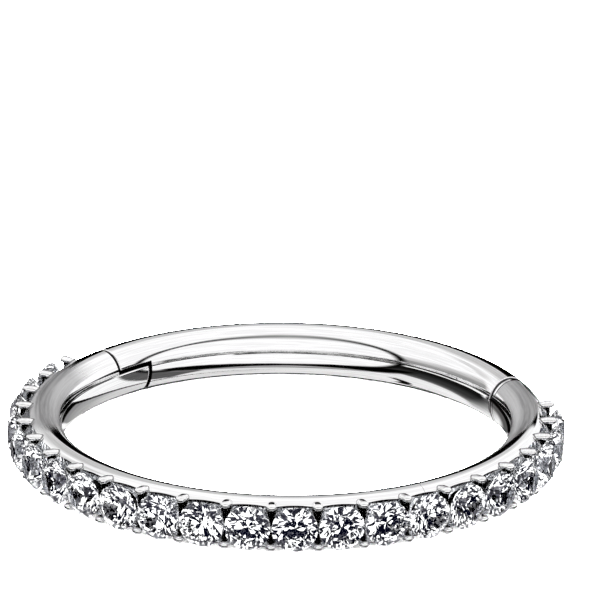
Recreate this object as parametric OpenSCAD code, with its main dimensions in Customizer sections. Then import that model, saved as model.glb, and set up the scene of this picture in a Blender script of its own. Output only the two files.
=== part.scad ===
// Hinged segment ring for a piercing. A wire ring is set with a row of round
// brilliant stones, and its plain back part is a gate that swings on a hinge.
// The ring lies flat: its axis is Z, its centre is the origin, and the gate is
// on the +Y side. Ring angles are counted from +X towards +Y.

/* [Wire] */
// Width of the hole inside the closed ring
hole_d = 10; // [9.5:0.5:11]
// Thickness of the wire, from the hole outwards
wire_w = 1; // [0.96:0.02:1.1]
// Height of the wire along the ring's axis
wire_h = 1.2; // [1.16:0.02:1.3]

/* [Gate] */
// Ring angle of the seam beside the hinge
hinge_seam_deg = 138.9; // [137:0.1:140]
// Ring angle of the seam where the gate snaps shut
catch_seam_deg = 23.1; // [21:0.1:25]
// Angle over which the gate laps the tab of the ring body
lap_deg = 10.8; // [10:0.1:12]
// Height of the lap above the middle of the wire
lap_z = 0.16; // [0.1:0.02:0.2]
// Width of the seam beside the hinge and at the end of the tab
seam_gap = 0.08; // [0.08:0.01:0.1]
// Width of the seam where the gate snaps shut
catch_gap = 0.05; // [0.04:0.01:0.06]
// Gap between the two faces of the lap
lap_gap = 0.06; // [0.04:0.01:0.08]

/* [Hinge] */
// Diameter of the hinge pin
pin_d = 0.3; // [0.26:0.02:0.3]
// Distance of the pin outwards from the middle of the wire
pin_out = 0.15; // [0.12:0.01:0.16]
// Free space round the pin in the gate
pin_play = 0.02; // [0.01:0.01:0.03]
// Top of the pin above the middle of the wire
pin_top_z = 0.4; // [0.36:0.02:0.42]

/* [Catch] */
// Diameter of the ball in the end of the gate
ball_d = 0.34; // [0.3:0.02:0.36]
// How far the ball stands out of the gate
ball_proud = 0.11; // [0.09:0.01:0.11]
// Diameter of the punch marks that close the metal over the ball
punch_d = 0.14; // [0.1:0.02:0.16]

/* [Stones] */
// Number of stones in the row
stone_count = 22; // [12:1:22]
// Diameter of a stone
stone_d = 1.05; // [1:0.01:1.05]
// Height of a stone's girdle above the outer face of the wire
stone_rise = 0.12; // [0.1:0.01:0.16]
// Height of the row of stones above the middle of the wire
row_z = 0.03; // [0:0.01:0.04]
// Angle from one stone to the next
stone_pitch_deg = 10; // [10:0.05:10.1]
// Ring angle of the first prong, beside the hinge
row_start_deg = 147.1; // [146:0.1:149]
// Diameter of the table as a share of the stone's
table_share = 0.56; // [0.53:0.01:0.6]
// Height of the crown as a share of the diameter
crown_share = 0.155; // [0.13:0.005:0.16]
// Depth of the pavilion as a share of the diameter
pavilion_share = 0.42; // [0.4:0.01:0.44]
// Thickness of the girdle
girdle_t = 0.03; // [0.02:0.01:0.04]

/* [Prongs] */
// Diameter of a prong
prong_d = 0.24; // [0.2:0.02:0.26]
// Height of the prongs above and below the middle of the row
prong_z = 0.455; // [0.45:0.005:0.47]
// How far a prong's tip stands above the outer face of the wire
prong_rise = 0.22; // [0.18:0.01:0.24]

/* [Hidden] */
// Middle of the wire, and its outer face
wire_r = hole_d / 2 + wire_w / 2;
outer_r = wire_r + wire_w / 2;
// Half the angle that a gap of the given width takes at the middle of the wire
function half_gap_deg(gap) = asin(gap / 2 / wire_r);
seam_half = half_gap_deg(seam_gap);
catch_half = half_gap_deg(catch_gap);
// Ends of the body and of the gate, on both sides of each seam
shoulder_deg = hinge_seam_deg + seam_half;
gate_end_deg = hinge_seam_deg - seam_half;
tab_end_deg = hinge_seam_deg - lap_deg + seam_half;
gate_step_deg = hinge_seam_deg - lap_deg - seam_half;
body_catch_deg = 360 + catch_seam_deg - catch_half;
gate_catch_deg = catch_seam_deg + catch_half;
// The pin stands in the middle of the lap
pin_deg = hinge_seam_deg - lap_deg / 2;
pin_r = wire_r + pin_out;
// What turns past the pin is rounded to stay just inside the seam
heel_play = 0.015;
heel_r = pin_r * sin(shoulder_deg - pin_deg) - heel_play;
// How far a cut of the lap runs on past the end of the metal
cut_past_deg = 1;
// The pin is a push fit in the tab
push_gap = 0.01;
// The wire's rounded bottom under the far side of the pin
pin_foot_z = (wire_w - wire_h) / 2 - sqrt(pow(wire_w / 2, 2) - pow(pin_out + pin_d / 2, 2));
// Free space round the ball in the gate, and in the dimple of the body
ball_play = 0.01;
dimple_play = 0.03;
// Distance from the middle of the ball to the middle of its punch marks
punch_out = ball_d / 2 + punch_d / 3;
punch_deep = 0.05;
// A drilled seat in the body stands behind each stone
seat_d = stone_d - 0.09;
seat_floor_d = 0.2;
seat_floor_r = wire_r + 0.06;
seat_mouth_r = outer_r - 0.05;
prong_foot_r = wire_r + 0.2;
girdle_r = outer_r + stone_rise;
// Facets round a stone, and the share of the pavilion's radius where its main facets meet
stone_fold = 8;
lower_split = 0.24;

steel = [0.8, 0.8, 0.82];
pin_steel = [0.66, 0.66, 0.68];
crystal = [0.9, 0.93, 0.98];

$fn = 48;

function stone_name(i) = str("stone_", i < 10 ? "0" : "", i);
function prong_deg(i) = row_start_deg + i * stone_pitch_deg;
function stone_deg(i) = prong_deg(i - 0.5);

// Moves its children out along the ring's radius at a ring angle
module at_ring(deg, r, z = 0) {
    rotate([0, 0, deg])
        translate([r, 0, z])
            children();
}

// Points a child's Z axis outwards along the ring's radius
module outwards() {
    rotate([0, 90, 0])
        children();
}

// The wire's section: two half rounds with a short straight between them
module wire_section() {
    for (side = [-1, 1])
        translate([wire_r, side * (wire_h - wire_w) / 2])
            circle(d = wire_w);
    translate([wire_r - wire_w / 2, (wire_w - wire_h) / 2])
        square([wire_w, wire_h - wire_w]);
}

// A stretch of wire between two ring angles
module wire_arc(from_deg, to_deg) {
    rotate([0, 0, from_deg])
        rotate_extrude(angle = to_deg - from_deg)
            wire_section();
}

// What is cut away over a stretch of the wire, between two heights
module lap_cut(from_deg, to_deg, from_z, to_z) {
    rotate([0, 0, from_deg])
        rotate_extrude(angle = to_deg - from_deg)
            translate([wire_r - wire_w, from_z])
                square([2 * wire_w, to_z - from_z]);
}

// The outer corner beyond the pin that would catch on the seam as the gate
// turns; side is 1 towards the shoulder and -1 towards the gate's step
module heel_corner(side) {
    at_ring(pin_deg, pin_r)
        difference() {
            translate([0, side > 0 ? 0 : -wire_w, -wire_h])
                cube([wire_w, wire_w, 2 * wire_h]);
            cylinder(r = heel_r, h = 3 * wire_h, center = true);
        }
}

// A prong is a round peg with a domed tip, shared by two stones; side is 1 for
// the upper row of prongs and -1 for the lower one
module prong(deg, side) {
    peg_r = outer_r + prong_rise - prong_d / 2;
    z = row_z + side * prong_z;
    at_ring(deg, prong_foot_r, z)
        outwards()
            cylinder(d = prong_d, h = peg_r - prong_foot_r);
    at_ring(deg, peg_r, z)
        sphere(d = prong_d);
}

// A drilled seat: a cone that opens into a round well behind the stone
module seat(deg) {
    at_ring(deg, seat_floor_r, row_z)
        outwards()
            cylinder(d1 = seat_floor_d, d2 = seat_d, h = seat_mouth_r - seat_floor_r);
    at_ring(deg, seat_mouth_r, row_z)
        outwards()
            cylinder(d = seat_d, h = 2 * stone_rise);
}

// The middle of the ball in the gate's end, as a place for its children
module at_ball() {
    rotate([0, 0, gate_catch_deg])
        translate([wire_r, ball_d / 2 - ball_proud, 0])
            children();
}

// Band, seats and prongs, soldered into one solid. Past the hinge seam the band
// goes on as a low tab that carries the pin.
module ring_body() {
    color(steel)
        difference() {
            union() {
                wire_arc(tab_end_deg, body_catch_deg);
                for (i = [0:stone_count])
                    for (side = [-1, 1])
                        prong(prong_deg(i), side);
            }
            lap_cut(tab_end_deg - cut_past_deg, shoulder_deg, lap_z - lap_gap / 2, wire_h);
            heel_corner(-1);
            for (i = [1:stone_count])
                seat(stone_deg(i));
            at_ring(pin_deg, pin_r)
                cylinder(d = pin_d + 2 * push_gap, h = 4 * wire_h, center = true);
            at_ball()
                sphere(d = ball_d + 2 * dimple_play);
        }
}

// The plain back of the ring, with the upper half of the lap
module gate() {
    color(steel)
        difference() {
            wire_arc(gate_catch_deg, gate_end_deg);
            lap_cut(gate_step_deg, gate_end_deg + cut_past_deg, -wire_h, lap_z + lap_gap / 2);
            heel_corner(1);
            at_ring(pin_deg, pin_r, -wire_h)
                cylinder(d = pin_d + 2 * pin_play, h = wire_h + pin_top_z + pin_play);
            at_ball()
                sphere(d = ball_d + 2 * ball_play);
            for (k = [0:3])
                rotate([0, 0, gate_catch_deg])
                    translate([wire_r, punch_deep, 0])
                        rotate([90, 90 * k + 45, 0])
                            translate([punch_out, 0, 0])
                                cylinder(d = punch_d, h = 2 * punch_deep);
        }
}

// A plain pin, pushed into the tab from below
module hinge_pin() {
    color(pin_steel)
        at_ring(pin_deg, pin_r, pin_foot_z)
            cylinder(d = pin_d, h = pin_top_z - pin_foot_z);
}

module click_ball() {
    color(pin_steel)
        at_ball()
            sphere(d = ball_d);
}

// Corners of a round brilliant whose girdle lies in the XY plane, from the
// table down: table, crown corners, upper and lower girdle, pavilion corners
// and culet. The crown and pavilion corners lie on the main facets' planes.
function on_circle(r, deg, z) = [r * cos(deg), r * sin(deg), z];

function brilliant_points(d) =
    let (
        r = d / 2,
        g = girdle_t / 2,
        step = 360 / stone_fold,
        table_r = r * table_share,
        table_z = g + d * crown_share,
        culet_z = -g - d * pavilion_share,
        flat_r = table_r * cos(step / 2),
        crown_r = (r + flat_r) / 2,
        crown_z = table_z - (table_z - g) * (crown_r * cos(step / 2) - table_r) / (r - table_r),
        low_r = r * lower_split,
        low_z = culet_z - (culet_z + g) * low_r * cos(step / 2) / r
    )
    concat(
        [for (k = [0:stone_fold - 1]) on_circle(table_r, k * step, table_z)],
        [for (k = [0:stone_fold - 1]) on_circle(crown_r, (k + 0.5) * step, crown_z)],
        [for (k = [0:2 * stone_fold - 1]) on_circle(r, k * step / 2, g)],
        [for (k = [0:2 * stone_fold - 1]) on_circle(r, k * step / 2, -g)],
        [for (k = [0:stone_fold - 1]) on_circle(low_r, (k + 0.5) * step, low_z)],
        [[0, 0, culet_z]]
    );

// Facets of the brilliant, each wound clockwise as seen from outside
function brilliant_facets() =
    let (
        n = stone_fold,
        crown = n,
        upper = 2 * n,
        lower = 4 * n,
        low = 6 * n,
        culet = 7 * n
    )
    concat(
        [[for (k = [0:n - 1]) n - 1 - k]],
        [for (k = [0:n - 1]) [k, (k + 1) % n, crown + k]],
        [for (k = [0:n - 1]) [k, crown + k, upper + 2 * k]],
        [for (k = [0:n - 1]) [k, upper + 2 * k, crown + (k + n - 1) % n]],
        [for (k = [0:n - 1]) [crown + k, upper + 2 * k + 1, upper + 2 * k]],
        [for (k = [0:n - 1]) [crown + k, upper + (2 * k + 2) % (2 * n), upper + 2 * k + 1]],
        [for (j = [0:2 * n - 1]) [upper + j, upper + (j + 1) % (2 * n), lower + (j + 1) % (2 * n)]],
        [for (j = [0:2 * n - 1]) [upper + j, lower + (j + 1) % (2 * n), lower + j]],
        [for (k = [0:n - 1]) [low + k, lower + 2 * k, lower + 2 * k + 1]],
        [for (k = [0:n - 1]) [low + k, lower + 2 * k + 1, lower + (2 * k + 2) % (2 * n)]],
        [for (k = [0:n - 1]) [culet, lower + 2 * k, low + k]],
        [for (k = [0:n - 1]) [culet, low + (k + n - 1) % n, lower + 2 * k]]
    );

module stone(i) {
    color(crystal)
        at_ring(stone_deg(i), girdle_r, row_z)
            outwards()
                polyhedron(points = brilliant_points(stone_d), faces = brilliant_facets());
}

ring_body();
gate();
hinge_pin();
click_ball();
for (i = [1:stone_count]) stone(i);
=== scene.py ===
import math

import bmesh
import bpy
from mathutils import Matrix, Vector


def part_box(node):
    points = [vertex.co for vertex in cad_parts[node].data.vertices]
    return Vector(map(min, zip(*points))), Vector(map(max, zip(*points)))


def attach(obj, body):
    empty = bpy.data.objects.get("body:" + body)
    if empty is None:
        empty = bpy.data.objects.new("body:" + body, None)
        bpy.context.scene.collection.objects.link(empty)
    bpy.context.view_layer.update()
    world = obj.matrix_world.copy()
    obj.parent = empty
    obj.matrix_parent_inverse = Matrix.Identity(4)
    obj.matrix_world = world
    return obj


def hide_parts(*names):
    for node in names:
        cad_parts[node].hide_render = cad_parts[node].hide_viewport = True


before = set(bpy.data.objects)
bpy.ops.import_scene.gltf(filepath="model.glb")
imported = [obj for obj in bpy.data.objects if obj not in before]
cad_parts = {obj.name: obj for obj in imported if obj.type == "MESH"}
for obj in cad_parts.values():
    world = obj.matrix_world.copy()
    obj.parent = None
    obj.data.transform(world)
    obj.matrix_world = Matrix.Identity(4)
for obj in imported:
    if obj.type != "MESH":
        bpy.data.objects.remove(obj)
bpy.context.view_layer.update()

# Sizes are in millimetres and angles in degrees, as on a ring maker's drawing.
# Ring angles are counted from +X, the gate's free end, towards +Y, the gate.
MM = 0.001


def box_mm(node):
    """Lowest and highest corner of a part, in millimetres."""
    low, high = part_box(node)
    return low / MM, high / MM


def middle_mm(node):
    low, high = box_mm(node)
    return (low + high) / 2


# The wire, which is oval in section
HOLE_R = 5.0
WIRE_R = (HOLE_R + box_mm("gate")[1].y) / 2
WIRE_HALF_W = WIRE_R - HOLE_R
WIRE_HALF_H = box_mm("gate")[1].z

# The seams: the butt seam at the catch, and the lap at the hinge
CATCH_SEAM, CATCH_GAP = 23.1, 0.05
HINGE_SEAM, LAP_DEG, SEAM_GAP = 138.9, 10.8, 0.08
LAP_Z, LAP_GAP = 0.16, 0.06
EDGE_ROUND = 0.045

# The hinge pin, and its play in the gate, at the heel and in the body
PIN = middle_mm("hinge_pin")
PIN_D = box_mm("hinge_pin")[1].x - box_mm("hinge_pin")[0].x
PIN_TOP = box_mm("hinge_pin")[1].z
PIN_DEG = math.degrees(math.atan2(PIN.y, PIN.x))
PIN_R = math.hypot(PIN.x, PIN.y)
PIN_PLAY, HEEL_PLAY, PUSH_GAP = 0.02, 0.015, 0.01

# The ball in the gate's free end, and its play there and in the body's dimple
BALL = middle_mm("click_ball")
BALL_R = (box_mm("click_ball")[1].z - box_mm("click_ball")[0].z) / 2
BALL_PLAY, DIMPLE_PLAY = 0.01, 0.03

# Four punch marks round the ball spread the steel that keeps it in; each
# narrows to this share of its radius at the floor
PUNCH_R, PUNCH_DEEP, PUNCH_NARROWS, PUNCH_OFF_BALL = 0.07, 0.05, 0.8, 0.047
PUNCH_OUT = BALL_R + PUNCH_OFF_BALL

STONES = sorted(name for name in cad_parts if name.startswith("stone_"))
STONE_D = box_mm(STONES[0])[1].z - box_mm(STONES[0])[0].z
ROW_Z = middle_mm(STONES[0]).z

# A seat is a cone behind its stone, from a floor to a mouth, counted from the
# ring's axis; its rim holds the stone's edge
SEAT_RIM, SEAT_FLOOR_R, SEAT_FLOOR, SEAT_MOUTH = 0.045, 0.1, 5.56, 5.95
SEAT_R = STONE_D / 2 - SEAT_RIM

# The stones stand in a shallow channel along the wire's outer side; its edge
# rises a little over each stone
CHANNEL_HALF_H, CHANNEL_RISE, CHANNEL_R = 0.445, 0.04, 5.74

# Cutting tools go on this far past the steel
PAST_WIRE, PAST_UNDERSIDE = 0.2, 0.1
CLEAR_R = WIRE_R + WIRE_HALF_W + PAST_WIRE

# Posts between the stones, from the lower claws to the upper ones: half their
# width at the waist and at the ends, half their thickness and their outer side
POST_WAIST, POST_END, POST_HALF_T, POST_R = 0.07, 0.14, 0.12, 6.02

# Claws: half their width and height, their height over the middle of the wire
# at the foot and past the bend, and how far out they reach
CLAW_FOOT_R, CLAW_BEND_R = 5.58, 5.92
UPPER_CLAW = {"half_w": 0.117, "half_h": 0.085, "foot_z": 0.44, "z": 0.51, "tip_r": 6.12}
LOWER_CLAW = {"half_w": 0.125, "half_h": 0.09, "foot_z": 0.38, "z": 0.41, "tip_r": 6.2}


def seam_half(gap):
    """Half the angle that a gap takes at the middle of the wire."""
    return math.degrees(gap / 2 / WIRE_R)


SHOULDER_DEG = HINGE_SEAM + seam_half(SEAM_GAP)
GATE_END_DEG = HINGE_SEAM - seam_half(SEAM_GAP)
TAB_END_DEG = HINGE_SEAM - LAP_DEG + seam_half(SEAM_GAP)
GATE_STEP_DEG = HINGE_SEAM - LAP_DEG - seam_half(SEAM_GAP)
BODY_CATCH_DEG = 360 + CATCH_SEAM - seam_half(CATCH_GAP)
GATE_CATCH_DEG = CATCH_SEAM + seam_half(CATCH_GAP)
HEEL_R = PIN_R * math.sin(math.radians(SHOULDER_DEG - PIN_DEG)) - HEEL_PLAY

# How finely the shapes are drawn: points round each half of the wire, sides of
# a claw, steps along it to its bend and over its dome, steps of half a post,
# steps round an edge and over half a ball, and sides of what is turned
KEPT = 56
CLAW_SIDES, CLAW_STEPS, DOME_STEPS = 24, 7, 10
POST_STEPS = 4
EDGE_STEPS = 4
BALL_STEPS = 24
PUNCH_SIDES, HOLE_SIDES, SEAT_SIDES = 20, 48, 72
WIRE_STEP_DEG = 0.45
# Where the rings of the lapped half stand, as shares of its length
LAP_SHARES = [0.04, 0.15, 0.3, 0.45, 0.6, 0.72, 0.83, 0.92]


def stone_deg(name):
    """Ring angle at which a stone stands, counted on from the hinge's seam."""
    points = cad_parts[name].data.vertices
    centre = sum((v.co for v in points), Vector()) / len(points)
    return (math.degrees(math.atan2(centre.y, centre.x)) - HINGE_SEAM) % 360 + HINGE_SEAM


STONE_DEGS = [stone_deg(name) for name in STONES]
PITCH_DEG = (STONE_DEGS[-1] - STONE_DEGS[0]) / (len(STONES) - 1)
PRONG_DEGS = [deg - PITCH_DEG / 2 for deg in STONE_DEGS] + [STONE_DEGS[-1] + PITCH_DEG / 2]


# Mesh making, in millimetres

def on_ring(deg, r, z):
    a = math.radians(deg)
    return Vector((r * math.cos(a), r * math.sin(a), z))


# Points closer than this are one. A point this near the oval, as a share of its
# size, lies on the wire's outside, and a face looks the oval's way if the
# product of both normals is more than this.
SAME_POINT, ON_OVAL, SAME_WAY = 1e-5, 2e-4, 0.97


def mesh_piece(name, shape):
    """Turns a bmesh in millimetres into an object in metres."""
    bmesh.ops.remove_doubles(shape, verts=shape.verts, dist=SAME_POINT)
    bmesh.ops.recalc_face_normals(shape, faces=shape.faces)
    bmesh.ops.scale(shape, vec=(MM, MM, MM), verts=shape.verts)
    mesh = bpy.data.meshes.new(name)
    shape.to_mesh(mesh)
    shape.free()
    piece = bpy.data.objects.new(name, mesh)
    bpy.context.scene.collection.objects.link(piece)
    return piece


def loft(shape, rings, caps):
    """Skins closed rings of points one after the other; caps lists the faces
    of each end as indices into a ring."""
    made = [[shape.verts.new(p) for p in ring] for ring in rings]
    for one, two in zip(made, made[1:]):
        for k in range(len(one)):
            n = (k + 1) % len(one)
            shape.faces.new((one[k], one[n], two[n], two[k]))
    for ring in (made[0], made[-1]):
        for cap in caps:
            shape.faces.new([ring[k] for k in cap])
    return made


def lathe(shape, profile, place, segments):
    """Turns a profile of (radius, height) points, on the axis at both ends,
    round its Z axis and puts it in place."""
    turns = [2 * math.pi * k / segments for k in range(segments)]
    rings = []
    for radius, height in profile[1:-1]:
        rings.append([place @ Vector((radius * math.cos(t), radius * math.sin(t), height)) for t in turns])
    made = loft(shape, rings, [])
    for ring, (_, height) in ((made[0], profile[0]), (made[-1], profile[-1])):
        tip = shape.verts.new(place @ Vector((0, 0, height)))
        for k in range(segments):
            shape.faces.new((ring[k], ring[(k + 1) % segments], tip))


def radial_place(deg, r, z):
    """A place on the ring whose Z axis points outwards and whose X axis is the ring's."""
    a = math.radians(deg)
    out = Vector((math.cos(a), math.sin(a), 0))
    up = Vector((0, 0, 1))
    turn = Matrix((up, out.cross(up), out)).transposed().to_4x4()
    return Matrix.Translation(on_ring(deg, r, z)) @ turn


def cut_away(piece, tool_shape, operation="DIFFERENCE"):
    """Cuts a bmesh out of a piece, or joins it on, and leaves one closed mesh."""
    tool = mesh_piece("tool", tool_shape)
    cut = piece.modifiers.new("cut", "BOOLEAN")
    cut.solver = "MANIFOLD"
    cut.operation = operation
    cut.object = tool
    keep_result(piece)
    bpy.data.objects.remove(tool)


def keep_result(piece):
    """Applies a piece's modifiers."""
    done = bpy.data.meshes.new_from_object(piece.evaluated_get(bpy.context.evaluated_depsgraph_get()))
    done.name = piece.name
    piece.modifiers.clear()
    piece.data = done


def shade_smooth(piece, sharp_deg=30):
    """Smooth shading that stops at the edges that are really sharp. On the
    wire's outside it takes the oval's own normals, so that no facet shows."""
    shape = bmesh.new()
    shape.from_mesh(piece.data)
    for face in shape.faces:
        face.smooth = True
    for edge in shape.edges:
        edge.smooth = len(edge.link_faces) == 2 and edge.calc_face_angle(0) < math.radians(sharp_deg)
    shape.to_mesh(piece.data)
    shape.free()
    weigh = piece.modifiers.new("weigh", "WEIGHTED_NORMAL")
    weigh.keep_sharp = True
    keep_result(piece)
    mesh = piece.data
    normals = [corner.vector.copy() for corner in mesh.corner_normals]
    for face in mesh.polygons:
        for corner in face.loop_indices:
            normal = wire_normal(mesh.vertices[mesh.loops[corner].vertex_index].co / MM)
            if normal and normal.dot(face.normal) > SAME_WAY:
                normals[corner] = normal
    mesh.normals_split_custom_set(normals)


def wire_normal(point):
    """The normal of the wire's outside at a point that lies on it, else nothing."""
    r = math.hypot(point.x, point.y)
    aside, rise = (r - WIRE_R) / WIRE_HALF_W, point.z / WIRE_HALF_H
    if abs(math.hypot(aside, rise) - 1) > ON_OVAL:
        return None
    out = aside / WIRE_HALF_W
    return Vector((out * point.x / r, out * point.y / r, rise / WIRE_HALF_H)).normalized()


# The wire and its two halves of the lap

def round_the_wire(turn, inset=0):
    """The point (r, z) of the wire's outline, turned from the middle of its
    inner side over the top, outwards and back underneath."""
    return (WIRE_R - (WIRE_HALF_W - inset) * math.cos(turn), (WIRE_HALF_H - inset) * math.sin(turn))


class WireHalf:
    """Outlines of a wire whose one half goes on past the other at a lap. All
    its rings have the points of the half that goes on, then those of the rest;
    side is 1 where the upper half goes on and -1 where the lower one does."""

    def __init__(self, cut_z, side):
        self.cut = cut_z * side
        self.side = side
        start = math.asin((self.cut + EDGE_ROUND) / WIRE_HALF_H)
        self.kept = [start + (math.pi - 2 * start) * k / (KEPT - 1) for k in range(KEPT)]
        span = 2 * math.pi - (self.kept[-1] - self.kept[0])
        self.rest = [self.kept[-1] + span * k / (KEPT - 1) for k in range(1, KEPT - 1)]

    def whole(self, inset=0):
        return [round_the_wire(s, inset) for s in self.kept + self.rest]

    def half(self, inset=0):
        upper = [round_the_wire(s, inset) for s in self.kept]
        edge_in, edge_out = upper[0][0], upper[-1][0]
        lower = []
        for r, _ in reversed(upper[1:-1]):
            near = min(max(min(r - edge_in, edge_out - r), 0), EDGE_ROUND)
            lift = EDGE_ROUND - math.sqrt(EDGE_ROUND ** 2 - (EDGE_ROUND - near) ** 2)
            lower.append((r, self.cut + inset + lift))
        return upper + lower

    def ring(self, outline, deg):
        """Stands an outline on the ring; deg is an angle or a function of r."""
        where = deg if callable(deg) else lambda r: deg
        return [on_ring(where(r), r, z * self.side) for r, z in outline]

    def caps(self):
        """Faces of an end: strips between the two rows of points."""
        low = [KEPT + k for k in range(KEPT - 2)][::-1]
        strips = [(k, k + 1, low[k], low[k - 1]) for k in range(1, KEPT - 2)]
        return strips + [(0, 1, low[0]), (KEPT - 2, KEPT - 1, low[-1])]


def rounding():
    """Pairs of (distance from the end, inset) round an edge, end first."""
    turns = [math.pi / 2 * k / EDGE_STEPS for k in range(EDGE_STEPS + 1)]
    return [(EDGE_ROUND * (1 - math.sin(t)), EDGE_ROUND * (1 - math.cos(t))) for t in turns][::-1]


def arc_deg(length):
    return math.degrees(length / WIRE_R)


def degs_between(one, two):
    count = max(2, round(abs(two - one) / WIRE_STEP_DEG))
    return [one + (two - one) * k / count for k in range(1, count)]


def heel_deg(r, side):
    """Angle at which a half of the lap ends at a radius: a straight seam, and
    outside the pin a round heel that stays clear as the gate swings."""
    seam = GATE_END_DEG if side > 0 else TAB_END_DEG
    if r <= PIN_R:
        return seam
    along = (r ** 2 + PIN_R ** 2 - HEEL_R ** 2) / (2 * r * PIN_R)
    heel = PIN_DEG + side * math.degrees(math.acos(min(along, 1)))
    return min(seam, heel) if side > 0 else max(seam, heel)


def wire_rings(half, butt_deg, step_deg):
    """Rings from the butt end, past the step, to the end of the lapped half.
    The ends have rounded edges, and the step is sharp."""
    way = 1 if step_deg > butt_deg else -1
    round_deg = arc_deg(EDGE_ROUND)
    rings = []
    for back, inset in rounding():
        rings.append(half.ring(half.whole(inset), butt_deg + way * arc_deg(back)))
    for deg in degs_between(butt_deg + way * round_deg, step_deg - way * round_deg):
        rings.append(half.ring(half.whole(), deg))
    rings.append(half.ring(half.whole(), step_deg))
    rings.append(half.ring(half.half(), step_deg))
    for share in LAP_SHARES:
        def part_way(r, share=share):
            end = heel_deg(r, way) - way * round_deg
            return step_deg + (end - step_deg) * share
        rings.append(half.ring(half.half(), part_way))
    for back, inset in rounding()[::-1]:
        def near_end(r, back=back):
            return heel_deg(r, way) - way * arc_deg(back)
        rings.append(half.ring(half.half(inset), near_end))
    return rings


def upright_hole(radius, low, high):
    shape = bmesh.new()
    profile = [(0, low), (radius, low), (radius, high), (0, high)]
    lathe(shape, profile, Matrix.Translation((PIN.x, PIN.y, 0)), HOLE_SIDES)
    return shape


def ball_hole(radius):
    shape = bmesh.new()
    turns = [math.pi * (k / BALL_STEPS - 0.5) for k in range(BALL_STEPS + 1)]
    profile = [(radius * math.cos(t), radius * math.sin(t)) for t in turns]
    lathe(shape, profile, Matrix.Translation(BALL), HOLE_SIDES)
    return shape


def punch_mark(turn_deg):
    """A small round mark beside the ball, in the gate's free end."""
    shape = bmesh.new()
    end = Matrix.Rotation(math.radians(GATE_CATCH_DEG), 4, "Z") @ Matrix.Translation((WIRE_R, 0, 0))
    turn = Matrix.Rotation(math.radians(turn_deg), 4, "Y")
    facing = Matrix.Translation((0, -PUNCH_DEEP, PUNCH_OUT)) @ Matrix.Rotation(-math.pi / 2, 4, "X")
    floor_r, floor = PUNCH_R * PUNCH_NARROWS, 2 * PUNCH_DEEP
    lathe(shape, [(0, 0), (PUNCH_R, 0), (floor_r, floor), (0, floor)], end @ turn @ facing, PUNCH_SIDES)
    return shape


def make_gate():
    """The plain back of the ring; its upper half goes on over the tab."""
    half = WireHalf(LAP_Z + LAP_GAP / 2, 1)
    shape = bmesh.new()
    loft(shape, wire_rings(half, GATE_CATCH_DEG, GATE_STEP_DEG), half.caps())
    gate = mesh_piece("gate_wire", shape)
    cut_away(gate, upright_hole(PIN_D / 2 + PIN_PLAY, -WIRE_HALF_H, PIN_TOP + PIN_PLAY))
    cut_away(gate, ball_hole(BALL_R + BALL_PLAY))
    for turn_deg in (45, 135, 225, 315):
        cut_away(gate, punch_mark(turn_deg))
    shade_smooth(gate)
    return gate


def seat_tool(deg):
    """What a setter's burr cuts behind a stone."""
    shape = bmesh.new()
    outline = [
        (0, SEAT_FLOOR),
        (SEAT_FLOOR_R, SEAT_FLOOR),
        (SEAT_R, SEAT_MOUTH),
        (SEAT_R, CLEAR_R),
        (0, CLEAR_R),
    ]
    profile = [(radius, r - WIRE_R) for radius, r in outline]
    lathe(shape, profile, radial_place(deg, WIRE_R, ROW_Z), SEAT_SIDES)
    return shape


def channel_tool():
    """What is milled off the wire's outer side, from the first claw to the last."""
    shape = bmesh.new()
    rings = []
    for deg in [PRONG_DEGS[0], *degs_between(PRONG_DEGS[0], PRONG_DEGS[-1]), PRONG_DEGS[-1]]:
        off_stone = min(abs(deg - stone) for stone in STONE_DEGS) / (PITCH_DEG / 2)
        half_h = CHANNEL_HALF_H + CHANNEL_RISE * (1 - off_stone ** 2)
        corners = [(CHANNEL_R, -half_h), (CLEAR_R, -half_h), (CLEAR_R, half_h), (CHANNEL_R, half_h)]
        rings.append([on_ring(deg, r, z) for r, z in corners])
    loft(shape, rings, [(0, 1, 2, 3)])
    return shape


def claw_shape(deg, side):
    """A claw that grows out of the wire's rim and ends in a dome over the
    gap between two stones."""
    claw = UPPER_CLAW if side > 0 else LOWER_CLAW
    shape = bmesh.new()
    steps = []
    for k in range(CLAW_STEPS):
        share = k / CLAW_STEPS
        rise = share * share * (3 - 2 * share)
        r = CLAW_FOOT_R + (CLAW_BEND_R - CLAW_FOOT_R) * share
        steps.append((r, 1, claw["foot_z"] + (claw["z"] - claw["foot_z"]) * rise))
    dome_r = claw["tip_r"] - claw["half_w"]
    for k in range(DOME_STEPS):
        turn = k / DOME_STEPS * math.pi / 2
        steps.append((dome_r + claw["half_w"] * math.sin(turn), math.cos(turn), claw["z"]))
    turns = [2 * math.pi * j / CLAW_SIDES for j in range(CLAW_SIDES)]
    rings = []
    for r, size, z in steps:
        place = radial_place(deg, r, side * z)
        half_h, half_w = size * claw["half_h"], size * claw["half_w"]
        rings.append([place @ Vector((half_h * math.cos(t), half_w * math.sin(t), 0)) for t in turns])
    made = loft(shape, rings, [])
    shape.faces.new(made[0])
    tip = shape.verts.new(on_ring(deg, claw["tip_r"], side * claw["z"]))
    for one, two in zip(made[-1], made[-1][1:] + made[-1][:1]):
        shape.faces.new((one, two, tip))
    return shape


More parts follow.
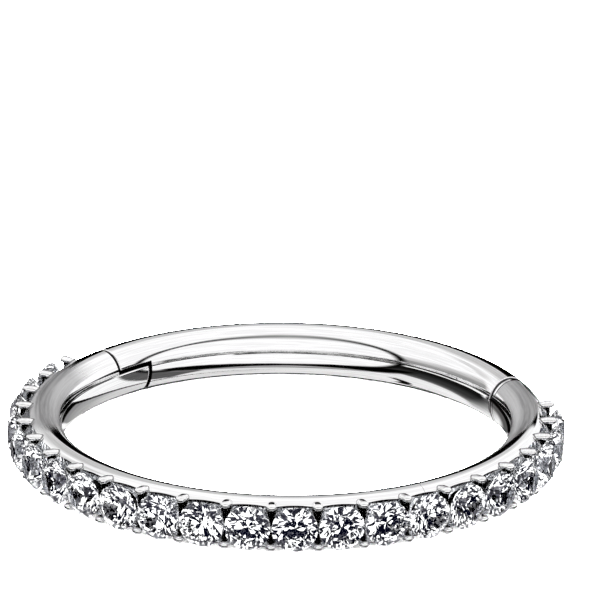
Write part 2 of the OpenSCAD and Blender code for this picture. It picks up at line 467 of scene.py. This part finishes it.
def post_shape(deg):
    """An upright post between two stones, with a slender waist."""
    shape = bmesh.new()
    turns = [2 * math.pi * j / CLAW_SIDES for j in range(CLAW_SIDES)]
    rings = []
    for k in range(2 * POST_STEPS + 1):
        share = k / POST_STEPS - 1
        half_w = POST_WAIST + (POST_END - POST_WAIST) * share * share
        place = radial_place(deg, POST_R - POST_HALF_T, CHANNEL_HALF_H * share)
        rings.append([place @ Vector((0, half_w * math.cos(t), POST_HALF_T * math.sin(t))) for t in turns])
    made = loft(shape, rings, [])
    shape.faces.new(made[0])
    shape.faces.new(made[-1])
    return shape


def add_shape(shape, more):
    """Adds one bmesh to another."""
    mesh = bpy.data.meshes.new("step")
    more.to_mesh(mesh)
    more.free()
    shape.from_mesh(mesh)
    bpy.data.meshes.remove(mesh)


def make_body():
    """Wire, tab, seats and claws, soldered into one piece."""
    half = WireHalf(LAP_Z - LAP_GAP / 2, -1)
    shape = bmesh.new()
    loft(shape, wire_rings(half, BODY_CATCH_DEG, SHOULDER_DEG), half.caps())
    body = mesh_piece("body_wire", shape)
    cut_away(body, channel_tool())
    claws = bmesh.new()
    posts = bmesh.new()
    for deg in PRONG_DEGS:
        for side in (-1, 1):
            add_shape(claws, claw_shape(deg, side))
        add_shape(posts, post_shape(deg))
    cut_away(body, claws, "UNION")
    cut_away(body, posts, "UNION")
    seats = bmesh.new()
    for deg in STONE_DEGS:
        add_shape(seats, seat_tool(deg))
    cut_away(body, seats)
    cut_away(body, upright_hole(PIN_D / 2 + PUSH_GAP, -WIRE_HALF_H - PAST_UNDERSIDE, WIRE_HALF_H))
    cut_away(body, ball_hole(BALL_R + DIMPLE_PLAY))
    shade_smooth(body)
    return body


# Finishes

class Signal:
    """A socket of a node tree. Arithmetic on it adds Math nodes."""

    def __init__(self, finish, socket):
        self.finish = finish
        self.socket = socket

    def math(self, operation, *others, flipped=False):
        terms = [self, *others]
        if flipped:
            terms.reverse()
        return self.finish.add("ShaderNodeMath", {"operation": operation}, dict(enumerate(terms)))

    def __add__(self, other):
        return self.math("ADD", other)

    def __sub__(self, other):
        return self.math("SUBTRACT", other)

    def __rsub__(self, other):
        return self.math("SUBTRACT", other, flipped=True)

    def __mul__(self, other):
        return self.math("MULTIPLY", other)

    def __truediv__(self, other):
        return self.math("DIVIDE", other)

    def __abs__(self):
        return self.math("ABSOLUTE")

    __radd__ = __add__
    __rmul__ = __mul__


class Finish:
    """The node tree of a material or of the studio's surroundings."""

    def __init__(self, owner):
        owner.use_nodes = True
        self.tree = owner.node_tree
        self.tree.nodes.clear()

    def add(self, kind, settings, inputs, output=0):
        """Adds a node: its settings first, then the values or links of its sockets."""
        node = self.tree.nodes.new(kind)
        for name, value in settings.items():
            if name == "stops":
                self.set_stops(node.color_ramp, value)
            else:
                setattr(node, name, value)
        for name, value in inputs.items():
            socket = node.inputs[name]
            if isinstance(value, Signal):
                self.tree.links.new(value.socket, socket)
            elif socket.type == "RGBA":
                socket.default_value = (*value, 1)
            else:
                socket.default_value = value
        if isinstance(output, tuple):
            return [Signal(self, node.outputs[name]) for name in output]
        return Signal(self, node.outputs[output]) if node.outputs else None

    @staticmethod
    def set_stops(ramp, stops):
        ramp.interpolation = "EASE"
        while len(ramp.elements) > 1:
            ramp.elements.remove(ramp.elements[-1])
        for k, (place, shade) in enumerate(stops):
            stop = ramp.elements[0] if k == 0 else ramp.elements.new(place)
            stop.position = place
            stop.color = (shade, shade, shade, 1)

    def step(self, value, low, high, at_low=0.0, at_high=1.0):
        """Goes smoothly from one value to another between two bounds, from 0 to
        1 as a rule."""
        inputs = {"Value": value, "From Min": low, "From Max": high, "To Min": at_low, "To Max": at_high}
        return self.add("ShaderNodeMapRange", {"interpolation_type": "SMOOTHSTEP"}, inputs)

    def drop(self, value, low, high):
        """Falls smoothly from 1 to 0 between two bounds."""
        return self.step(value, low, high, 1.0, 0.0)

    def between(self, value, low, high, soft):
        """Is 1 between two bounds and 0 outside them, with soft edges."""
        return self.step(value, low - soft, low + soft) * self.drop(value, high - soft, high + soft)

    def mix(self, share, one, two):
        return self.add("ShaderNodeMix", {"data_type": "RGBA"}, {0: share, 6: one, 7: two}, output=2)

    def split(self, vector):
        return self.add("ShaderNodeSeparateXYZ", {}, {"Vector": vector}, output=("X", "Y", "Z"))

    def join(self, x, y, z):
        return self.add("ShaderNodeCombineXYZ", {}, {"X": x, "Y": y, "Z": z})

    def noise(self, vector, scale, detail):
        return self.add("ShaderNodeTexNoise", {}, {"Vector": vector, "Scale": scale, "Detail": detail})

    def coat(self, inputs):
        """Ends a material in one shader."""
        shader = self.add("ShaderNodeBsdfPrincipled", {}, inputs)
        self.add("ShaderNodeOutputMaterial", {}, {"Surface": shader})


class WirePlace:
    """Where a point of a surface lies on the ring, in millimetres: its place
    across the ring, the direction out from the axis, its distance from the
    axis, its height, and its depth under the wire's round outside."""

    def __init__(self, finish):
        place = finish.add("ShaderNodeTexCoord", {}, {}, output="Object")
        x, y, self.height = [part / MM for part in finish.split(place)]
        self.out = (x * x + y * y).math("SQRT")
        self.across, self.along = x, y
        self.east, self.north = x / self.out, y / self.out
        aside, rise = (self.out - WIRE_R) / WIRE_HALF_W, self.height / WIRE_HALF_H
        self.depth = (1 - (aside * aside + rise * rise).math("SQRT")) * WIRE_HALF_W


def drawn_streaks(finish, place, length, fineness, detail):
    """Noise drawn out along the wire, with no seam all round the ring."""
    vector = finish.join(place.out * fineness, place.height * fineness, place.east * length)
    inputs = {"Vector": vector, "W": place.north * length, "Scale": 1.0, "Detail": detail}
    return finish.add("ShaderNodeTexNoise", {"noise_dimensions": "4D"}, inputs)


def new_material(name):
    material = bpy.data.materials.new(name)
    return material, Finish(material)


def flat(value):
    """A grey given as the light it throws back, from 0 to 1."""
    return (value,) * 3


# Where the steel's finishes end, mostly as pairs of where a change begins and
# where it ends. By depth under the wire's outside: the drawn surface, what is
# hidden in seams and seats, and the claws' feet, where shade is painted.
DRAWN, HIDDEN, CLAW_FOOT_DEPTH = (-0.03, -0.01), (0.006, 0.02), (-0.036, -0.008)
# By height: the painted shade on the seats' rim, the painted shade under the claws' tips, and
# where the painted shade at their feet and the painted black crescent begin
RIM_Z, UNDER_CLAW_Z, FOOT_Z, CRESCENT_Z = (0.38, 0.42), (-0.335, 0.46), (0.4, 0.45), (0.05, 0.1)
# By distance from the ring's axis: the satin tops, rougher and painted darker as
# painted shade; the crescent, a painted black reflection whose bow is deepest at
# one share of north; and the painted shade on the floor of the seats
SATIN_SHADE_IN, SATIN_SHADE_EDGE, SATIN_SHADE_OUT = 5.1, 5.13, 5.74
CRESCENT_R, CRESCENT_NORTH, CRESCENT_BOW = (5.63, 5.66), 0.28, 9.0
FLOOR_R = (5.7, 5.73)
# By share of north or east: the ends of the row and how far their line leans,
# the left satin top with its painted shade, the tongue of the right one, and the catch's side
ROW_END, ROW_LEAN = (0.4, 0.44), 0.25
LEFT_SATIN_SHADE_NORTH, LEFT_SATIN_SHADE_EAST = (-0.25, 0.47), (-0.6, -0.7)
TONGUE_R, TONGUE_SLANT, TONGUE_TIP = 5.3, 1.2, (-0.5, -0.38)
CATCH_SIDE, OFF_CATCH_SIDE = (0.6, 0.7), (0.6, 0.5)
# By distance past the catch seam: where the satin and its painted shade stop, the two
# painted black reflection lines, and how far off the ring the other side is pushed
SATIN_SHADE_SHORT, RIM_LINE, SEAM_LINE = (-0.18, -0.15), (-0.19, -0.16), (-0.085, 0.03)
OFF_RING = 9.0

# Colours: of the steel, as the dark and the light of a streak, where the satin's
# darker grey is painted shade; of what is bright-cut; of the painted black
# reflections, of the painted shade, of the painted shade in a seam and at a
# claw's foot; and of the crystal, as its two tints and the tint of its glints
BRIGHT = (0.86, 0.86, 0.865), (0.96, 0.96, 0.965)
# The satin tops' darker grey is painted shade
BRUSHED_AND_SHADED = (0.5, 0.5, 0.505), (0.6, 0.6, 0.605)
TURNED = (0.7, 0.7, 0.72), (0.84, 0.84, 0.86)
BRIGHT_CUT = (0.75, 0.76, 0.78)
# Painted black reflections, painted shade, painted shade in a seam, and painted shade at a claw's foot
PAINTED_BLACK_REFLECTION, IN_SHADE, PAINTED_SEAM_SHADE, PAINTED_FOOT_SHADE = flat(0.012), flat(0.02), flat(0.03), flat(0.25)
CRYSTAL, CRYSTAL_GLINT = ((0.985, 0.99, 1.0), (0.965, 0.975, 1.0)), (0.2, 0.2, 0.25)

# Roughness when polished, and what the streaks, the satin and its streaks add;
# and how deep the marks are in millimetres, and how many cuts there are to one
POLISHED, STREAKS_ADD, SATIN_ADDS, SATIN_STREAKS_ADD = 0.03, 0.06, 0.34, 0.1
STREAK_DEEP, CUTS_DEEP, CUTS_FINE = 0.0004, 0.05, 9.0


def past_catch_seam(finish, place):
    """Distance past the catch seam, square to it. Away from the catch's side it
    is pushed off the ring; where that begins, at the front right, it runs
    through the lines at the seam once more."""
    seam = math.radians(CATCH_SEAM)
    pushed = finish.step(place.east, *OFF_CATCH_SIDE) * OFF_RING
    return place.along * math.cos(seam) - place.across * math.sin(seam) + pushed


def satin_and_shade_ends(finish, place, past_seam):
    """Is 1 on the satin tops at both ends of the row. These are rougher, and are
    painted a darker grey as painted shade. The one at the catch runs out in a
    tongue towards the front and stops short of the seam."""
    left = finish.between(place.north, *LEFT_SATIN_SHADE_NORTH, soft=0.1)
    left = left * finish.step(place.east, *LEFT_SATIN_SHADE_EAST)
    left = left * finish.step(place.out, SATIN_SHADE_IN, SATIN_SHADE_EDGE)
    tongue = place.north - (place.out - TONGUE_R) * TONGUE_SLANT
    right = finish.step(tongue, *TONGUE_TIP) * finish.step(place.east, *CATCH_SIDE)
    right = right * finish.between(place.out, SATIN_SHADE_IN, SATIN_SHADE_OUT, soft=0.012)
    return left + right * finish.drop(past_seam, *SATIN_SHADE_SHORT)


def painted_catch_reflections(finish, place, past_seam):
    """Is 1 on the painted black reflections at the catch: a crescent outside the
    satin, and two lines along its seam."""
    bow = place.north - CRESCENT_NORTH
    # Painted black reflection: a crescent on the outer edge
    crescent = finish.step(place.out - bow * bow * CRESCENT_BOW, *CRESCENT_R)
    crescent = crescent * finish.step(place.east, *CATCH_SIDE) * finish.step(place.height, *CRESCENT_Z)
    # Painted black reflection lines along the seam
    rim_line = finish.between(past_seam, *RIM_LINE, soft=0.004)
    seam_line = finish.between(past_seam, *SEAM_LINE, soft=0.008)
    return crescent + (rim_line + seam_line)


def painted_claw_shades(finish, place, in_row, drawn, outside):
    """Painted shade where the claws hide the light: black below their tips, grey at their feet."""
    claw = (1 - drawn) * in_row
    # Painted shade below the claws' tips
    under_claw_shade = claw * finish.between(place.height, *UNDER_CLAW_Z, soft=0.012)
    outside = finish.mix(under_claw_shade, outside, IN_SHADE)
    # Painted shade at the claws' feet
    foot_shade = in_row * finish.between(place.depth, *CLAW_FOOT_DEPTH, soft=0.006)
    return finish.mix(foot_shade * finish.step(place.height, *FOOT_Z), outside, PAINTED_FOOT_SHADE)


def ring_steel(name, ends_satin_and_painted):
    """Polished steel with fine streaks drawn along the wire. The ends of the row
    may have satin tops, rougher and painted darker as painted shade, and black
    lines at the catch, which are painted reflections. What lies under the wire's
    round surface is painted dark in the seams as painted shade, and bright-cut
    in the row, with painted shade on its rim and its floor."""
    material, finish = new_material(name)
    place = WirePlace(finish)
    streaks = drawn_streaks(finish, place, length=4.5, fineness=26.0, detail=5.0)
    patches = drawn_streaks(finish, place, length=4.0, fineness=1.5, detail=2.0)
    streak = finish.step(streaks, 0.4, 0.62)
    patch = finish.step(patches, 0.35, 0.65)
    drawn = finish.step(place.depth, *DRAWN)
    hidden = finish.step(place.depth, *HIDDEN)
    in_row = finish.drop(place.north + place.east * ROW_LEAN, *ROW_END)

    past_seam = past_catch_seam(finish, place)
    # Satin tops: rougher steel, and a darker grey that is painted shade
    satin_and_shade = satin_and_shade_ends(finish, place, past_seam) * drawn * ends_satin_and_painted
    # Painted black reflections at the catch
    black = (painted_catch_reflections(finish, place, past_seam) * drawn * ends_satin_and_painted).math("MINIMUM", 1.0)
    outside = finish.mix(satin_and_shade, finish.mix(streak, *BRIGHT), finish.mix(streak, *BRUSHED_AND_SHADED))
    outside = finish.mix(black, outside, PAINTED_BLACK_REFLECTION)
    # Painted shade under the claws and at their feet
    outside = painted_claw_shades(finish, place, in_row, drawn, outside)

    # Painted shade on the rim and the floor of the seats
    rim = finish.step(place.height, *RIM_Z)
    floor = finish.drop(place.out, *FLOOR_R)
    cut = finish.mix((rim + floor).math("MINIMUM", 1.0), BRIGHT_CUT, IN_SHADE)
    # Painted shade in the seams; the bright-cut seats in the row
    inside = finish.mix(in_row, PAINTED_SEAM_SHADE, cut)

    cut_place = finish.join(place.across, place.along, place.height)
    inputs = {"Vector": cut_place, "Scale": CUTS_FINE}
    cuts = finish.add("ShaderNodeTexVoronoi", {"feature": "F1"}, inputs, output="Distance")
    height = streaks * drawn * STREAK_DEEP + cuts * hidden * in_row * CUTS_DEEP
    on_satin = satin_and_shade * (SATIN_ADDS + streak * SATIN_STREAKS_ADD)
    finish.coat({
        "Base Color": finish.mix(hidden, outside, inside),
        "Metallic": 1.0,
        "Roughness": POLISHED + streak * patch * drawn * STREAKS_ADD + on_satin,
        "Normal": finish.add("ShaderNodeBump", {}, {"Height": height, "Strength": 1.0, "Distance": MM}),
    })
    return material


def pin_steel():
    """Plain steel with the fine rings that turning leaves."""
    material, finish = new_material("pin_steel")
    place = WirePlace(finish)
    along_axis = finish.join(place.out * 4, place.across * 4, place.height * 60)
    rings = finish.noise(along_axis, scale=1.0, detail=3.0)
    finish.coat({
        "Base Color": finish.mix(rings, *TURNED),
        "Metallic": 1.0,
        "Roughness": 0.1 + rings * 0.08,
    })
    return material


def clear_stone():
    """Cut and polished clear crystal with a breath of blue."""
    material, finish = new_material("clear_crystal")
    place = WirePlace(finish)
    cloud = finish.noise(finish.join(place.across, place.out, place.height), scale=1.3, detail=1.0)
    finish.coat({
        "Base Color": finish.mix(finish.step(cloud, 0.4, 0.6), *CRYSTAL),
        "Roughness": 0.0,
        "IOR": 2.15,
        "Transmission Weight": 1.0,
        "Specular Tint": CRYSTAL_GLINT,
    })
    return material


def pale_floor():
    """White paper with a faint grain."""
    material, finish = new_material("pale_floor")
    place = finish.add("ShaderNodeTexCoord", {}, {}, output="Object")
    grain = finish.noise(place, scale=900.0, detail=3.0)
    finish.coat({"Base Color": finish.mix(grain, flat(0.93), flat(0.95)), "Roughness": 0.9})
    return material


def black_cloth():
    """Cloth so black that it throws hardly any light back."""
    material, finish = new_material("black_cloth")
    place = finish.add("ShaderNodeTexCoord", {}, {}, output="Object")
    weave = finish.noise(place, scale=4000.0, detail=2.0)
    finish.coat({
        "Base Color": finish.mix(weave, flat(0.0001), flat(0.0004)),
        "Roughness": 1.0,
        "Specular IOR Level": 0.0,
    })
    return material


def wear(piece, material):
    piece.data.materials.clear()
    piece.data.materials.append(material)


# The studio. Looks are greys as the eye sees them, where 1 is white.

LOOK_POWER = 2.2
WHITE, HEM, SHADE = 1.03, 0.02, 0.36
# How far the far edge of the table lies under the horizon, in degrees
LOW_BACK_DEG = -20.5
PANES, DARK_PANE, BRIGHT_PANE = 6.0, (0.001, 0.0015, 0.008), flat(2.2)
FLOOR_LIGHT = 40.0
FLOOR_HALF, FLOOR_BELOW = 600, 0.002
FLAG_IN_R, FLAG_OUT_R, FLAG_Z, FLAG_STEPS = 7.2, 14.0, -1.5, 60

# The camera's distance, lens and sensor in millimetres, its height and roll in
# degrees, and its shift aside and up; it sees from 0.01 to 10 m
CAMERA_FAR, LENS, SENSOR = 600.0, 1593.0, 36
CAMERA_RISE, CAMERA_ROLL = 20.54, 0.65
CAMERA_ASIDE, CAMERA_UP = 0.317, 3.024
SEES_FROM, SEES_TO = 0.01, 10


def grey(look):
    return flat(look ** LOOK_POWER)


class Tent:
    """What polished steel mirrors: a white tent, seen by azimuth (90 is behind
    the ring, 0 at its catch side) and rise over the horizon, in degrees. Its
    hems and the table's far edge draw dark lines; in front stands a white card."""

    def __init__(self, finish, way):
        self.finish = finish
        self.x, self.y, self.z = finish.split(way)
        self.azimuth = self.y.math("ARCTAN2", self.x) * math.degrees(1)
        self.rise = self.z.math("ARCSINE") * math.degrees(1)
        self.cloth = self.ramp([(-90, 0.92), (-60, 0.95), (0, WHITE), (90, WHITE)])

    def ramp(self, looks):
        """A grey by rise, from pairs of degrees and looks."""
        stops = [((deg + 90) / 180, look ** LOOK_POWER) for deg, look in looks]
        return self.finish.add("ShaderNodeValToRGB", {"stops": stops}, {"Fac": (self.rise + 90.0) / 180.0})

    def paint(self, mask, look):
        """Lays a look, or a ramp of looks, over the cloth where the mask is 1."""
        self.cloth = self.finish.mix(mask, self.cloth, look if isinstance(look, Signal) else grey(look))

    def facing(self, low, high, soft):
        return self.finish.between(self.azimuth, low, high, soft)

    def rising(self, low, high, soft):
        return self.finish.between(self.rise, low, high, soft)

    def below(self, value, soft):
        return self.finish.drop(value, -soft, soft)

    def north_panels(self):
        """Two soft panels high up behind the ring."""
        self.paint(self.rising(24.0, 48.0, soft=4.0) * self.facing(76.0, 122.0, soft=8.0), 0.8)
        self.paint(self.rising(26.0, 47.0, soft=5.0) * self.facing(136.0, 166.0, soft=6.0), 0.86)

    def west_wall(self):
        """The hinge side of what the gate mirrors, with the floor's far line."""
        turned = abs(self.azimuth)
        west = self.finish.step(turned, 146.0, 152.0)
        over = west * self.finish.step(self.rise, 0.0, 1.0)
        self.paint(over, self.ramp([(0, 0.45), (8, 0.62), (15, 0.8), (24, 1.02), (90, WHITE)]))
        self.paint(west * self.rising(-7.5, 1.0, soft=0.8), HEM)
        low = self.finish.step(turned, 105.0, 150.0) * self.rising(-40.0, -14.0, soft=2.0)
        self.paint(low, self.ramp([(-40, 0.36), (-30, 0.22), (-16, 0.08)]))
        fall = (135.0 - self.azimuth).math("MAXIMUM", 0.0)
        floor_line = self.rise - (fall * fall * 0.03 - 60.5)
        on_line = self.finish.between(floor_line, -1.8, 1.8, soft=0.8)
        self.paint(self.finish.step(self.azimuth, 112.0, 122.0) * on_line, 0.06)
        self.paint(west * self.rising(-15.5, -11.5, soft=0.6), HEM)

    def north_west_wall(self):
        """A hem that falls away from the west, with a soft shade under it."""
        slope = self.rise - (self.azimuth - 140.0).math("MINIMUM", 0.0) * 0.17
        side = self.facing(95.0, 146.0, soft=2.0)
        self.paint(side * self.finish.between(slope, -19.0, -9.0, soft=2.5), 0.35)
        self.paint(side * self.finish.between(slope, -12.5, -7.0, soft=0.8), HEM)

    def east_wall(self):
        """What the row's left end mirrors: a slanting hem, and a bowed band
        above it that is thinnest in the middle."""
        east = self.facing(-30.0, 78.0, soft=2.0)
        over_hem = self.rise - ((self.azimuth - 50.0).math("MINIMUM", 0.0) * 1.13 - 13.0)
        under = self.ramp([(-60, 0.9), (-45, 0.85), (-30, 0.68), (-18, 0.55), (-12, 0.5)])
        self.paint(east * self.below(over_hem, 0.8), under)
        self.paint(east * self.finish.between(over_hem, -3.6, 3.2, soft=0.8), HEM)
        self.paint(self.facing(-27.0, 6.0, soft=2.0) * self.rising(-58.0, -8.0, soft=2.0), SHADE)
        self.paint(self.facing(8.0, 50.0, soft=3.0) * self.rising(-9.0, -6.0, soft=0.6), 0.25)
        off = self.azimuth - 36.0
        middle = (off * off * 0.004).math("MINIMUM", 6.0) + 1.0
        half = (off * off * 0.002).math("MINIMUM", 2.0) + 2.8
        band = self.finish.between(self.rise, middle - half, middle + half, soft=0.8)
        self.paint(self.facing(-17.0, 72.0, soft=2.0) * band, HEM)

    def south_card(self):
        """The white card, its soft dark border and a thread across it."""
        bowed = self.x.math("MAXIMUM", 0.0) * self.x * 0.42 - 0.54
        past_edge = self.y - (bowed + (0.0 - self.x).math("MAXIMUM", 0.0) * 0.05)
        self.paint(self.below(past_edge, 0.02), WHITE)
        aside = abs(self.x).math("MINIMUM", 0.62)
        border = self.finish.drop(abs(past_edge), aside * 0.01, 0.25 - aside * 0.28)
        self.paint(border * (0.7 + aside * 0.5) * self.finish.step(self.z, -0.75, -0.6), 0.05)
        self.paint(self.facing(-147.0, -63.0, soft=2.0) * self.rising(-11.8, -8.4, soft=0.4), HEM)

    def near_edge(self):
        """The table's near edge and what lies below it."""
        lower = self.z - (self.x * self.x * 0.45 - 0.85)
        south = self.finish.drop(self.y, -0.32, -0.22)
        stops = [(0.0, 0.8), (0.3, 0.75), (0.4, 0.1), (0.5, 0.12), (0.65, 0.6), (0.85, 0.55), (1.0, 0.2)]
        table = self.finish.add("ShaderNodeValToRGB", {"stops": stops}, {"Fac": lower * 5.0 + 1.0})
        self.paint(south * self.finish.drop(lower, -0.02, 0.0), table)
        thick = abs(self.x) * 0.07 + 0.045
        self.paint(south * self.finish.between(lower, 0.0 - thick, thick, soft=0.015), 0.01)

    def north_gap(self, again):
        """The dark gap behind the table, which draws the outlines. It shows in
        the first mirroring only."""
        low_back = math.radians(LOW_BACK_DEG)
        far = self.y * math.cos(low_back) + self.z * math.sin(low_back)
        lift = self.z * math.cos(low_back) - self.y * math.sin(low_back)
        gap = self.finish.step(abs(lift) * 0.42 - abs(self.x), -0.08, -0.04) * (1.0 - again)
        self.paint(gap * self.finish.step(lift, -0.02, 0.02) * self.finish.step(far, 0.7, 0.73), 0.01)
        self.paint(gap * self.below(lift, 0.02) * self.finish.step(far, 0.8, 0.83), 0.2)

    def second_mirroring(self, again):
        """Steel that shows in other steel is dark at the sides."""
        sideways = self.finish.drop(abs(self.y), 0.55, 0.75)
        self.paint(sideways * self.rising(-30.0, 30.0, soft=4.0) * again, HEM)

    def walls(self, again):
        """All of the tent; again is 1 where the steel shows in other steel."""
        self.north_panels()
        self.west_wall()
        self.north_west_wall()
        self.east_wall()
        self.south_card()
        self.near_edge()
        self.north_gap(again)
        self.second_mirroring(again)
        return self.cloth


def studio_light():
    """Soft light from a white tent. Cut stones see small bright and dark panes
    instead of its walls, which makes them sparkle."""
    world = bpy.data.worlds.new("studio_tent")
    bpy.context.scene.world = world
    finish = Finish(world)
    way = finish.add("ShaderNodeTexCoord", {}, {}, output="Generated")
    inputs = {"Vector": way, "Scale": PANES}
    panes = finish.add("ShaderNodeTexVoronoi", {"feature": "F1"}, inputs, output="Color")
    sparkle = finish.mix(finish.step(finish.split(panes)[0], 0.55, 0.57), DARK_PANE, BRIGHT_PANE)
    outputs = ("Is Transmission Ray", "Is Diffuse Ray", "Is Camera Ray", "Glossy Depth")
    in_stone, on_floor, seen, mirrorings = finish.add("ShaderNodeLightPath", {}, {}, output=outputs)
    again = finish.step(mirrorings, 1.4, 1.6)
    shade = finish.mix(in_stone, Tent(finish, way).walls(again), sparkle)
    shade = finish.mix(on_floor, shade, flat(FLOOR_LIGHT))
    shade = finish.mix(seen, shade, flat(1.0))
    light = finish.add("ShaderNodeBackground", {}, {"Color": shade, "Strength": 1.0})
    finish.add("ShaderNodeOutputWorld", {}, {"Surface": light})


def lay_floor():
    shape = bmesh.new()
    bmesh.ops.create_grid(shape, x_segments=1, y_segments=1, size=FLOOR_HALF)
    bmesh.ops.translate(shape, vec=(0, 0, -WIRE_HALF_H - FLOOR_BELOW), verts=shape.verts)
    floor = mesh_piece("floor", shape)
    wear(floor, pale_floor())
    floor.visible_glossy = False
    floor.visible_transmission = False


def lay_flag():
    """A black flag round the row, just under the table top, where only
    polished faces mirror it: it takes the haze off the stones."""
    shape = bmesh.new()
    first, last = PRONG_DEGS[0], PRONG_DEGS[-1]
    degs = [first + k * (last - first) / FLAG_STEPS for k in range(FLAG_STEPS + 1)]
    inner = [shape.verts.new(on_ring(deg, FLAG_IN_R, FLAG_Z)) for deg in degs]
    outer = [shape.verts.new(on_ring(deg, FLAG_OUT_R, FLAG_Z)) for deg in degs]
    for k in range(FLAG_STEPS):
        shape.faces.new((inner[k], outer[k], outer[k + 1], inner[k + 1]))
    flag = mesh_piece("black_flag", shape)
    wear(flag, black_cloth())
    flag.visible_camera = False
    flag.visible_diffuse = False
    flag.visible_transmission = False
    flag.visible_shadow = False


def set_camera():
    """A long lens from afar; the ring stands below the middle of the picture."""
    lean = Matrix.Rotation(math.pi / 2 - math.radians(CAMERA_RISE), 4, "X")
    turn = lean @ Matrix.Rotation(math.radians(CAMERA_ROLL), 4, "Z")
    camera = bpy.data.objects.new("camera", bpy.data.cameras.new("camera"))
    camera.data.sensor_width = SENSOR
    camera.data.lens = LENS
    camera.data.clip_start, camera.data.clip_end = SEES_FROM, SEES_TO
    camera.matrix_world = turn @ Matrix.Translation(Vector((CAMERA_ASIDE, CAMERA_UP, CAMERA_FAR)) * MM)
    bpy.context.scene.collection.objects.link(camera)
    bpy.context.scene.camera = camera


set_camera()
studio_light()
lay_floor()
lay_flag()

gate = make_gate()
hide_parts("gate")
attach(gate, "gate")
wear(gate, ring_steel("gate_steel", 0.0))

body = make_body()
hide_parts("ring_body")
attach(body, "ring")
wear(body, ring_steel("body_steel", 1.0))

turned = pin_steel()
for name in ("hinge_pin", "click_ball"):
    wear(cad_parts[name], turned)
crystal = clear_stone()
for name in STONES:
    wear(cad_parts[name], crystal)

scene = bpy.context.scene
scene.view_settings.view_transform = "Standard"
scene.cycles.max_bounces = 24
scene.cycles.glossy_bounces = 12
scene.cycles.transmission_bounces = 24
